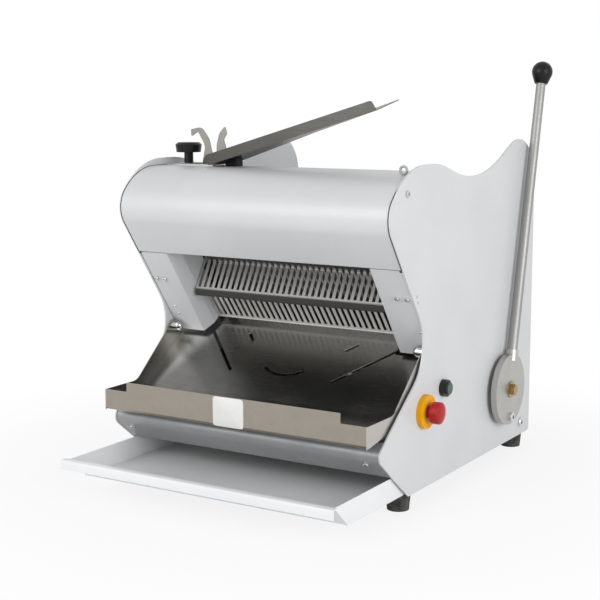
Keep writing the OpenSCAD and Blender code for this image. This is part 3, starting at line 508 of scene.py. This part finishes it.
# The blades' dark tone is painted shade, the shade inside the machine around them.
BLADE_STEEL = finish("blade_steel", BRUSHED_SHEET, (0.26, 0.26, 0.255), (0.20, 0.20, 0.195), metallic=1.0,
                     rough=(0.26, 0.4), bump=0.00005, Stretch=LINES_IN_YZ)
BRIGHT_STEEL = finish("bright_steel", BRUSHED_SHEET, (0.66, 0.66, 0.65), (0.56, 0.56, 0.55), metallic=1.0,
                      rough=(0.2, 0.32), bump=0.00005, Stretch=LINES_ALONG_Z)
ROD_STEEL = finish("rod_steel", BRUSHED_SHEET, (0.345, 0.345, 0.335), (0.295, 0.295, 0.285), metallic=0.6,
                   rough=(0.4, 0.5), bump=0.00005, Stretch=LINES_ALONG_Z)
CHROME = finish("chrome", BRUSHED_SHEET, (0.50, 0.50, 0.49), (0.44, 0.44, 0.43), metallic=1.0,
                rough=(0.06, 0.1), bump=0.00002)
ALUMINIUM = finish("satin_aluminium", BRUSHED_SHEET, (0.48, 0.475, 0.45), (0.40, 0.395, 0.375), metallic=0.9,
                   rough=(0.34, 0.48), bump=0.00006, Stretch=LINES_ALONG_Y)
BRONZE = finish("bronze", BRUSHED_SHEET, (0.42, 0.31, 0.14), (0.33, 0.24, 0.11), metallic=1.0,
                rough=(0.28, 0.42))
print("finishes so far:", len(bpy.data.materials))

# %% [markdown]
# ## Plastic and rubber
# Grip, knob and bezel are glossy black, the guides of the blades dull black, and the feet rubber with a
# coarser grain. A stop button must be found at a glance, so red and yellow stay clear of dust. A dark
# plastic looks right only with a low specular level, which is set on the shader and not mixed into the
# colour.

# %% Plastic finishes
RUBBER = finish("black_rubber", MOULDED_GRAIN, (0.018, 0.018, 0.02), (0.01, 0.01, 0.011), rough=(0.6, 0.8),
                gloss=0.3, Grain=700.0)
BLACK = finish("black_plastic", MOULDED_GRAIN, (0.010, 0.010, 0.011), (0.006, 0.006, 0.007),
               rough=(0.25, 0.4), gloss=0.22)
GUIDE = finish("guide_plastic", MOULDED_GRAIN, (0.03, 0.03, 0.032), (0.02, 0.02, 0.022), rough=(0.45, 0.6),
               gloss=0.3)
GREY = finish("grey_plastic", MOULDED_GRAIN, (0.26, 0.28, 0.30), (0.22, 0.24, 0.26))
GREEN = finish("start_green", MOULDED_GRAIN, (0.022, 0.060, 0.036), (0.016, 0.044, 0.026), rough=(0.2, 0.35))
RED = finish("stop_red", MOULDED_GRAIN, (0.42, 0.012, 0.010), (0.34, 0.009, 0.008), rough=(0.3, 0.45),
             gloss=0.25, dust=0.0)
YELLOW = finish("stop_yellow", MOULDED_GRAIN, (0.90, 0.42, 0.002), (0.82, 0.37, 0.002), rough=(0.35, 0.5),
                gloss=0.2, dust=0.0)
BLANK_WHITE = finish("blank_plate_white", MOULDED_GRAIN, (0.80, 0.80, 0.78), (0.75, 0.75, 0.73),
                     rough=(0.3, 0.4))
print("finishes:", len(bpy.data.materials))

# %% [markdown]
# ## Which solid wears what
# The record gives each solid a material slot. Sixty assignments could be written out, but a table from
# slot to finish dresses nearly all of them, and a second table names the few that look different in the
# photograph.

# %% Dress the solids
SLOT_FINISH = {
    "white_paint": WHITE, "plate_grey": PLATE_GREY, "stainless": STAINLESS, "dark_steel": DARK_STEEL,
    "blade_steel": BLADE_STEEL, "bright_steel": BRIGHT_STEEL, "aluminium": ALUMINIUM, "bronze": BRONZE,
    "black_rubber": RUBBER, "black_plastic": BLACK, "guide_plastic": GUIDE, "grey_plastic": GREY,
    "motor_paint": MOTOR_BLUE, "green_plastic": GREEN, "red_plastic": RED, "yellow_plastic": YELLOW,
}
NODE_FINISH = {
    "crumb_tray": TRAY_WHITE, "retaining_comb": COMB_STEEL, "outlet_chute": CHUTE_STEEL,
    "bagging_scoop": SCOOP_STEEL, "infeed_bed": BED_STEEL, "infeed_back_plate": BED_STEEL,
    "lever_rod": ROD_STEEL, "chute_pivot_left": CHROME, "chute_pivot_right": CHROME,
}

for part in frame["record"]["subparts"]:
    solid = nodes[part["node"]]
    solid.data.materials.clear()
    solid.data.materials.append(NODE_FINISH.get(part["node"], SLOT_FINISH[part["material_slot"]]))

# %% [markdown]
# ## The scoop's far end
# The scoop is a sheet that lies flat where the knob clamps it. Towards its far end the back edge stands
# higher, so the loaf leans against the front lip. A new sheet could be drawn from scratch, but the solid
# already has the lip, the horns and the hole, so a copy of it is stretched and wound with one array sum.

# %% Wind the scoop
TROUGH_LENGTH, TROUGH_WIDTH = 364.0, 95.0
FAR_REACH, FAR_RISE = 15.0, 18.5


def new_object(name, data):
    """An object for the data, linked into the scene."""
    obj = bpy.data.objects.new(name, data)
    bpy.context.scene.collection.objects.link(obj)
    return obj


def merge_points(mesh, reach, turn_outwards=False):
    """Join points closer than reach, and where asked turn all faces outwards."""
    work = bmesh.new()
    work.from_mesh(mesh)
    bmesh.ops.remove_doubles(work, verts=work.verts, dist=reach)
    if turn_outwards:
        bmesh.ops.recalc_face_normals(work, faces=work.faces)
    work.to_mesh(mesh)
    work.free()


def wound_scoop(solid):
    """A copy of the solid: length grows by reach * u and height by rise * u * v, u and v from 0 to 1."""
    mesh = solid.data.copy()
    merge_points(mesh, WELD_REACH)
    points = np.empty(len(mesh.vertices) * 3)
    mesh.vertices.foreach_get("co", points)
    points = points.reshape(-1, 3)
    local = (points - at(TROUGH_FOOT)) * MM_PER_M
    u = np.clip(local @ ALONG_TROUGH / TROUGH_LENGTH, 0.0, 1.0)[:, None]
    v = np.clip(local[:, 1] / TROUGH_WIDTH + 0.5, 0.0, 1.0)[:, None]
    points += (FAR_REACH * u * ALONG_TROUGH + FAR_RISE * u * v * OFF_TROUGH) / MM_PER_M
    mesh.vertices.foreach_set("co", points.ravel())
    obj = new_object("scoop_sheet", mesh)
    smooth_solid(obj)
    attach(obj, "scoop")
    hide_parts("bagging_scoop")
    return obj


print("scoop vertices:", len(wound_scoop(nodes["bagging_scoop"]).data.vertices))

# %% [markdown]
# ## Turned shapes
# Grip, bolts, screws and rings are turned on a lathe or look as if they were: a profile of radius and
# height, carried round an axis. A Screw modifier could do it. Here it is one array product, radius times
# cosine and sine, and the grid of points then gets its faces from shifted index arrays.

# %% Surfaces on a grid
JOIN_REACH = 1e-7


def grid_object(name, points, body, material):
    """A closed mesh from an array of shape (rows, columns, 3), wrapped round along the columns."""
    rows, cols = points.shape[:2]
    index = np.arange(rows * cols).reshape(rows, cols)
    across = np.roll(index, -1, axis=1)
    quads = np.stack([index[:-1], across[:-1], across[1:], index[1:]], axis=-1).reshape(-1, 4)
    mesh = bpy.data.meshes.new(name)
    mesh.from_pydata(points.reshape(-1, 3).tolist(), [], quads.tolist())
    merge_points(mesh, JOIN_REACH, turn_outwards=True)
    mesh.materials.append(material)
    obj = new_object(name, mesh)
    shade_curves(obj)
    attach(obj, body)
    return obj


def axis_frame(axis):
    """Rows: two unit vectors across the axis, and the axis itself."""
    axis = np.asarray(axis, float) / np.linalg.norm(axis)
    side = np.cross(axis, [0.0, 0.0, 1.0] if abs(axis[2]) < 0.9 else [1.0, 0.0, 0.0])
    side = side / np.linalg.norm(side)
    return np.array([side, np.cross(axis, side), axis])


def turned(centre, axis, reach, level, steps):
    """Rings round an axis: (reach cos a, reach sin a, level) for each row, in metres at centre."""
    angle = np.linspace(0, 2 * np.pi, steps, endpoint=False)
    reach, level, angle = np.broadcast_arrays(reach, level, angle)
    local = np.stack([reach * np.cos(angle), reach * np.sin(angle), level], axis=-1)
    return at(np.asarray(centre, float) + local @ axis_frame(axis))


print("points closer than", JOIN_REACH, "m are joined")

# %% [markdown]
# ## The grip of the lever
# The black grip is a ball that narrows to a short foot, where it is screwed onto the rod. A ball and a
# cone could be joined, but one turned profile has no seam: the foot's side is the tangent from its rim
# to the ball, so the two meet without an edge. The rod is carried on into the foot at its own width.

# %% Turn the grip
LEVER_PIVOT, LEVER_LENGTH, LEVER_TILT = np.array([306.0, 145.0, 150.0]), 650.0, math.radians(12.7)
LEVER_AXIS = np.array([0.0, math.sin(LEVER_TILT), math.cos(LEVER_TILT)])
GRIP_CENTRE = LEVER_PIVOT + LEVER_LENGTH * LEVER_AXIS
GRIP_RADIUS, FOOT_RADIUS, FOOT_DEPTH, FOOT_EDGE = 21.0, 13.5, 23.5, 1.0
ROD_END, ROD_RADIUS, ROD_TOP = 42.0, 9.5, 24.0
LEVER_STEPS, DOME_STEPS = 48, 24


def lever_piece(name, profile, material):
    """A piece turned round the lever's axis from rows of (radius, level above the grip's centre)."""
    radius, level = np.asarray(profile, float).T[:, :, None]
    points = turned(GRIP_CENTRE, LEVER_AXIS, radius, level, LEVER_STEPS)
    return grid_object(name, points, "pusher", material)


tangent = math.atan2(-FOOT_DEPTH, FOOT_RADIUS) + math.acos(GRIP_RADIUS / math.hypot(FOOT_RADIUS, FOOT_DEPTH))
dome = np.linspace(tangent, np.pi / 2, DOME_STEPS)
foot_level = -FOOT_DEPTH - FOOT_EDGE
grip = lever_piece("ball_grip", np.vstack([
    [[0.0, foot_level], [FOOT_RADIUS - FOOT_EDGE, foot_level], [FOOT_RADIUS, -FOOT_DEPTH]],
    np.column_stack([GRIP_RADIUS * np.cos(dome), GRIP_RADIUS * np.sin(dome)]),
]), BLACK)
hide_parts("lever_ball")
lever_piece("rod_end", [[0.0, -ROD_END], [ROD_RADIUS, -ROD_END], [ROD_RADIUS, -ROD_TOP], [0.0, -ROD_TOP]],
            ROD_STEEL)
print("grip tangent at", round(math.degrees(tangent), 1), "degrees")

# %% [markdown]
# ## Bolts on the cheeks, plate, panels and disc
# The photograph shows two bolts on each cheek, two on the base plate, two on the side panel, and one on
# the lever disc under its pivot. Each is a cap head with a six-sided socket. The socket could be cut
# with a Boolean, but bending two of the turned rings into a hexagon keeps the mesh clean.

# %% Place the bolts
SIDES = ((-1, "left"), (1, "right"))
PANEL_FACE, CHEEK_FACE = 290.0, -40.5
CHEEK_BOLT_X, CHEEK_BOLT_S = (257.0, 277.0), 83.0
PLATE_BOLT_X, PLATE_BOLT_Y, PLATE_BOLT_Z, PLATE_NORMAL = 256.0, -357.6, 108.0, (0, -0.627, -0.779)
UPPER_BOLT_YZ, LOWER_BOLT_YZ, DISC_BOLT_AT = (-279.0, 570.0), (251.0, 57.0), (312.0, 146.0, 93.0)
# Radius and height of each head.
CHEEK_BOLT, PLATE_BOLT, UPPER_BOLT = (4.6, 4.0), (6.0, 4.0), (6.5, 4.0)
LOWER_BOLT, DISC_BOLT = (10.0, 5.0), (9.0, 7.0)
RIM_RINGS = np.array([0.0, 0.5, 0.5, 0.62, 0.9, 1.0, 1.0, 0.0])[:, None]
RIM_LEVELS = np.array([0.45, 0.45, 0.95, 1.0, 0.92, 0.7, 0.0, 0.0])[:, None]
IS_SOCKET = np.array([0, 1, 1, 0, 0, 0, 0, 0], dtype=bool)[:, None]
SOCKET_FLAT, BOLT_STEPS = 0.88, 36


def bolt_head(name, centre, axis, radius, height, body):
    """A domed rim round a hexagon whose wall lies at flat / cos(angle from the flat's middle)."""
    angle = np.linspace(0, 2 * np.pi, BOLT_STEPS, endpoint=False)
    hexagon = SOCKET_FLAT / np.cos((angle + np.pi / 6) % (np.pi / 3) - np.pi / 6)
    reach = RIM_RINGS * radius * np.where(IS_SOCKET, hexagon, 1.0)
    points = turned(centre, axis, reach, RIM_LEVELS * height, BOLT_STEPS)
    return grid_object(name, points, body, BRIGHT_STEEL)


bolts = []
for side, word in SIDES:
    outwards, face = (side, 0, 0), side * PANEL_FACE
    for k, x in enumerate(CHEEK_BOLT_X):
        place = leaned(side * x, CHEEK_FACE, CHEEK_BOLT_S)
        bolts.append(bolt_head(f"cheek_bolt_{word}_{k}", place, OUT_OF_FACE, *CHEEK_BOLT, "machine"))
    place = (side * PLATE_BOLT_X, PLATE_BOLT_Y, PLATE_BOLT_Z)
    bolts.append(bolt_head(f"plate_bolt_{word}", place, PLATE_NORMAL, *PLATE_BOLT, "machine"))
    place = (face, *UPPER_BOLT_YZ)
    bolts.append(bolt_head(f"panel_bolt_upper_{word}", place, outwards, *UPPER_BOLT, "machine"))
    place = (face, *LOWER_BOLT_YZ)
    bolts.append(bolt_head(f"panel_bolt_lower_{word}", place, outwards, *LOWER_BOLT, "machine"))
bolts.append(bolt_head("disc_bolt", DISC_BOLT_AT, (1, 0, 0), *DISC_BOLT, "pusher"))
print("bolts:", len(bolts))

# %% [markdown]
# ## Pan screws and corner beads
# Small screws with dished heads hold the cheeks and the edges of the panels. Where the cover's fold ends,
# the corner is drilled out so that the sheet does not tear when it is bent. A dark bead paints the shade
# inside that hole, which is simpler than cutting it and looks the same at this size.

# %% Place the screws
PAN_RINGS = np.array([0.0, 0.22, 0.3, 0.6, 0.86, 1.0, 1.0, 0.0])[:, None]
PAN_LEVELS = np.array([0.55, 0.55, 0.98, 0.95, 0.75, 0.4, 0.0, 0.0])[:, None]
PAN_RADIUS, SCREW_HEIGHT, BEAD_HEIGHT, PAN_STEPS = 2.6, 1.6, 0.9, 24
BEAD_X, BEAD_N, BEAD_S = 284.5, -42.0, 150.0
PANEL_SCREW_YZ = ((-237.0, 386.5), (-232.5, 375.0))
CHEEK_SCREW_XS = ((-266.5, 6.5), (-265.5, -13.0), (281.0, 0.5))


def pan_screw(name, centre, axis, height, material):
    """A low domed head with a dished middle, on the plane through centre."""
    points = turned(centre, axis, PAN_RINGS * PAN_RADIUS, PAN_LEVELS * height, PAN_STEPS)
    return grid_object(name, points, "machine", material)


for side, word in SIDES:
    corner = leaned(side * BEAD_X, BEAD_N, BEAD_S)
    # A dark bead that paints the shade inside the drilled corner hole.
    pan_screw(f"cover_corner_hole_shade_{word}", corner, OUT_OF_FACE, BEAD_HEIGHT, DARK_STEEL)
    for k, place in enumerate(PANEL_SCREW_YZ):
        face_place = (side * PANEL_FACE, *place)
        pan_screw(f"panel_screw_{word}_{k}", face_place, (side, 0, 0), SCREW_HEIGHT, BRIGHT_STEEL)
for k, (x, s) in enumerate(CHEEK_SCREW_XS):
    pan_screw(f"cheek_screw_{k}", leaned(x, CHEEK_FACE, s), OUT_OF_FACE, SCREW_HEIGHT, BRIGHT_STEEL)
print("panel screws on each side:", len(PANEL_SCREW_YZ), "and on the cheeks:", len(CHEEK_SCREW_XS))

# %% [markdown]
# ## The lifting eye
# A ring on top of the cover takes a hook when the machine is lifted. Blender has a torus to add, but the
# turned rows give it too: the profile is a circle beside the axis, radius R + r cos v and level r sin v.

# %% Place the lifting eye
EYE_AT, EYE_AXIS, EYE_RADIUS, EYE_WIRE = (273.0, -260.0, 609.2), (0, 1, 0), 6.5, 2.2
EYE_STEPS, WIRE_STEPS = 40, 16

v = np.linspace(0, 2 * np.pi, WIRE_STEPS + 1)[:, None]
eye_points = turned(EYE_AT, EYE_AXIS, EYE_RADIUS + EYE_WIRE * np.cos(v), EYE_WIRE * np.sin(v), EYE_STEPS)
grid_object("lifting_eye", eye_points, "machine", ROD_STEEL)
print("lifting eye:", eye_points.shape)

# %% [markdown]
# ## Painted shadow in the seams beside the cover
# The cover is a sheet of its own between the two side panels, and each seam between them shows as a dark
# shadow line. A dark rubber strip in each seam paints that shadow. A bevelled curve could follow it. Here a
# circle is carried along the cover's outline, straight runs joined by arcs, so the strip bends exactly where
# the sheet does.

# %% Seam shadow strips
COVER_OUTLINE = [(*leaned(0, -42.0, 152.5)[1:], 0.0), (-358.0, 532.9, 50.0), (-288.0, 602.9, 122.0),
                 (-196.0, 602.9, 0.0)]
SEAM_X, SHADOW_STRIP_RADIUS = 286.9, 0.9
SHADOW_STRIP_SIDES = 10


def round_corners(corners, steps=12):
    """Points along corners (y, z, r): an arc leaves the straight run r tan(turn / 2) before its corner."""
    corner = np.array([c[:2] for c in corners])
    points = [corner[:1]]
    for before, here, after, radius in zip(corner, corner[1:], corner[2:], [c[2] for c in corners[1:]]):
        start = (here - before) / np.linalg.norm(here - before)
        end = (after - here) / np.linalg.norm(after - here)
        turn = np.arctan2(start[0] * end[1] - start[1] * end[0], start @ end)
        angle = np.linspace(0.0, turn, steps)
        side = np.sign(turn) * np.array([-start[1], start[0]])
        centre = here - start * radius * np.tan(abs(turn) / 2) + side * radius
        arc = np.sin(abs(angle))[:, None] * start - np.cos(angle)[:, None] * side
        points.append(centre + radius * arc)
    return np.vstack(points + [corner[-1:]])


def seam_shadow_strip(name, path, x):
    """A dark strip that paints the seam's shadow: a circle of the strip's radius carried along a path of (y,
    z) at one x; its ends close to a point.
    """
    ahead = np.gradient(path, axis=0)
    ahead = ahead / np.linalg.norm(ahead, axis=1, keepdims=True)
    angle = np.linspace(0, 2 * np.pi, SHADOW_STRIP_SIDES, endpoint=False)
    path = np.vstack([path[:1], path, path[-1:]])
    across = np.vstack([ahead[:1], ahead, ahead[-1:]])[:, ::-1] * [-1.0, 1.0]
    reach = np.full(len(path), SHADOW_STRIP_RADIUS)
    reach[[0, -1]] = 0.0
    ring_x = x + reach[:, None] * np.cos(angle)
    ring_yz = path[:, None, :] + (reach[:, None] * np.sin(angle))[:, :, None] * across[:, None, :]
    points = np.concatenate([ring_x[:, :, None], ring_yz], axis=-1)
    return grid_object(name, at(points), "machine", RUBBER)


cover_path = round_corners(COVER_OUTLINE)
for side, word in SIDES:
    # Each strip is painted shade along the seam between cover and panel.
    seam_shadow_strip(f"cover_seam_shadow_{word}", cover_path, side * SEAM_X)
print("seal points:", len(cover_path))

# %% [markdown]
# ## The blank plate on the lip
# A small white plate is fixed to the front of the chute's lip. A bevelled box would do. A superellipse,
# x = a |cos t|^(2/p) and z = b |sin t|^(2/p), has its round corners built in, and is swept over a
# thickness.

# %% Lip plate
LIP_PLATE_AT, LIP_PLATE_HALF, LIP_PLATE_THICK, CORNER_POWER = (0.0, -405.0, 176.5), (33.0, 27.0), 0.6, 12
PLATE_STEPS = 96


def rounded_plate(name, centre, half, thickness, power, body, material):
    """A flat plate facing -Y: superellipse rings at the back face, the rim and the front face."""
    t = np.linspace(0, 2 * np.pi, PLATE_STEPS, endpoint=False)
    rim_x = half[0] * np.sign(np.cos(t)) * np.abs(np.cos(t)) ** (2 / power)
    rim_z = half[1] * np.sign(np.sin(t)) * np.abs(np.sin(t)) ** (2 / power)
    scale = np.array([0.0, 1.0, 1.0, 0.985, 0.0])[:, None]
    depth = np.array([0.0, 0.0, -0.7, -1.0, -1.0])[:, None] * thickness
    rings = np.broadcast_arrays(scale * rim_x, depth, scale * rim_z)
    return grid_object(name, at(np.stack(rings, axis=-1) + np.asarray(centre)), body, material)


rounded_plate("lip_plate", LIP_PLATE_AT, LIP_PLATE_HALF, LIP_PLATE_THICK, CORNER_POWER, "chute",
              BLANK_WHITE)
print("lip plate at", LIP_PLATE_AT)

# %% [markdown]
# ## The studio's floor and sky
# The machine stands on a pale floor under an even sky. More light would turn both white, and bleach the
# paint too. Light Path tells camera rays and reflections from the light that falls on the machine, so
# floor and sky are white only where they are seen. Near the machine the floor keeps a share of its matt
# shade, so the shadow still shows.

# %% Floor and sky
FLOOR_HALF, FLOOR_TONE = 12.0, (0.86, 0.86, 0.86, 1)
FADE_FROM, FADE_TO, NEAR_SHARE = 0.35, 1.1, 0.84
SKY_FILL = 0.46


def seen_rays(tree):
    """1 for camera, glossy and transmitted rays, 0 for the rest: the clamped sum of the three."""
    rays = put(tree, "ShaderNodeLightPath").outputs
    seen = combine(tree, "ADD", rays["Is Camera Ray"], rays["Is Glossy Ray"])
    return combine(tree, "ADD", seen, rays["Is Transmission Ray"], use_clamp=True)


def make_floor():
    """A square at z = 0, matt; to rays that see it, a share of white that grows with the distance."""
    xy = np.array([[-1, -1], [1, -1], [1, 1], [-1, 1]]) * FLOOR_HALF
    mesh = bpy.data.meshes.new("floor")
    mesh.from_pydata(np.column_stack([xy, np.zeros(4)]).tolist(), [], [[0, 1, 2, 3]])
    obj = new_object("floor", mesh)
    mat = bpy.data.materials.new("studio_floor")
    mat.use_nodes = True
    tree = mat.node_tree
    tree.nodes.remove(tree.nodes["Principled BSDF"])
    matt = put(tree, "ShaderNodeBsdfDiffuse")
    matt.inputs["Color"].default_value = FLOOR_TONE
    far = put(tree, "ShaderNodeVectorMath", operation="LENGTH")
    tree.links.new(object_place(tree), far.inputs[0])
    fade = map_range(tree, far.outputs["Value"], (FADE_FROM, FADE_TO), (NEAR_SHARE, 1.0),
                     interpolation_type="SMOOTHSTEP")
    mix = put(tree, "ShaderNodeMixShader")
    tree.links.new(combine(tree, "MULTIPLY", seen_rays(tree), fade), mix.inputs[0])
    tree.links.new(matt.outputs[0], mix.inputs[1])
    tree.links.new(put(tree, "ShaderNodeEmission").outputs[0], mix.inputs[2])
    tree.links.new(mix.outputs[0], tree.nodes["Material Output"].inputs["Surface"])
    mesh.materials.append(mat)


def make_sky(fill):
    """White where it is seen, and a grey fill of the given strength to all other rays."""
    world = bpy.data.worlds.new("studio_sky")
    bpy.context.scene.world = world
    world.use_nodes = True
    tree = world.node_tree
    sky = tree.nodes["Background"].inputs
    sky["Color"].default_value = (1, 1, 1, 1)
    tree.links.new(map_range(tree, seen_rays(tree), (0.0, 1.0), (fill, 1.0)), sky["Strength"])


make_floor()
make_sky(SKY_FILL)
print("floor and sky ready, fill", SKY_FILL)

# %% [markdown]
# ## Lamps
# A large soft lamp stands high in front on the left, and a second one on the right lights the lever's
# side. A point or a sun would give hard edges. Area lamps of two metres give the soft ones of a studio's
# light boxes, and they stay weak enough that the white paint keeps its tone.

# %% Lamps
MACHINE_MIDDLE = np.array([0.0, 0.0, 0.3])


def stand(obj, axes, place):
    """Put an object at place, in metres, with the columns of axes as its own x, y and z."""
    pose = np.eye(4)
    pose[:3, :3] = axes
    pose[:3, 3] = place
    obj.matrix_world = Matrix(pose.tolist())


def soft_lamp(name, place, size, watts):
    """A square area lamp at place; it shines along its own -z, so z points away from the machine."""
    light = bpy.data.lights.new(name, "AREA")
    light.size = size
    light.energy = watts
    stand(new_object(name, light), axis_frame(np.asarray(place) - MACHINE_MIDDLE).T, place)


soft_lamp("key_lamp", place=(-1.2, -3.2, 1.7), size=2.2, watts=60)
soft_lamp("side_lamp", place=(3.2, -1.0, 1.0), size=1.8, watts=54)
print("lamps:", len(bpy.data.lights))

# %% [markdown]
# ## The camera
# The photograph was measured: known places on the machine fix where the camera stood, which way it
# looked and how long its lens was. Turning a camera by eye would never match so well. Its three axes are
# right, up and back, and a small roll turns the first two.

# %% Camera
CAMERA_MM = (1315.2, -2284.6, 733.6)
AZIMUTH, PITCH, ROLL = np.radians([31.75, 8.77, -0.13])
FOCAL_PIXELS, IMAGE_PIXELS, SENSOR_MM = 1312.7, 600.0, 36.0

ahead = np.array([-np.sin(AZIMUTH) * np.cos(PITCH), np.cos(AZIMUTH) * np.cos(PITCH), -np.sin(PITCH)])
level_right = np.array([np.cos(AZIMUTH), np.sin(AZIMUTH), 0.0])
level_up = np.cross(level_right, ahead)
right = np.cos(ROLL) * level_right + np.sin(ROLL) * level_up
up = np.cross(right, ahead)

lens = bpy.data.cameras.new("photo_camera")
lens.sensor_width = SENSOR_MM
lens.lens = SENSOR_MM * FOCAL_PIXELS / IMAGE_PIXELS
camera = new_object("photo_camera", lens)
stand(camera, np.column_stack([right, up, -ahead]), at(CAMERA_MM))
bpy.context.scene.camera = camera
bpy.context.scene.view_settings.view_transform = "Standard"
print("lens", round(lens.lens, 1), "mm at", at(CAMERA_MM).round(3))
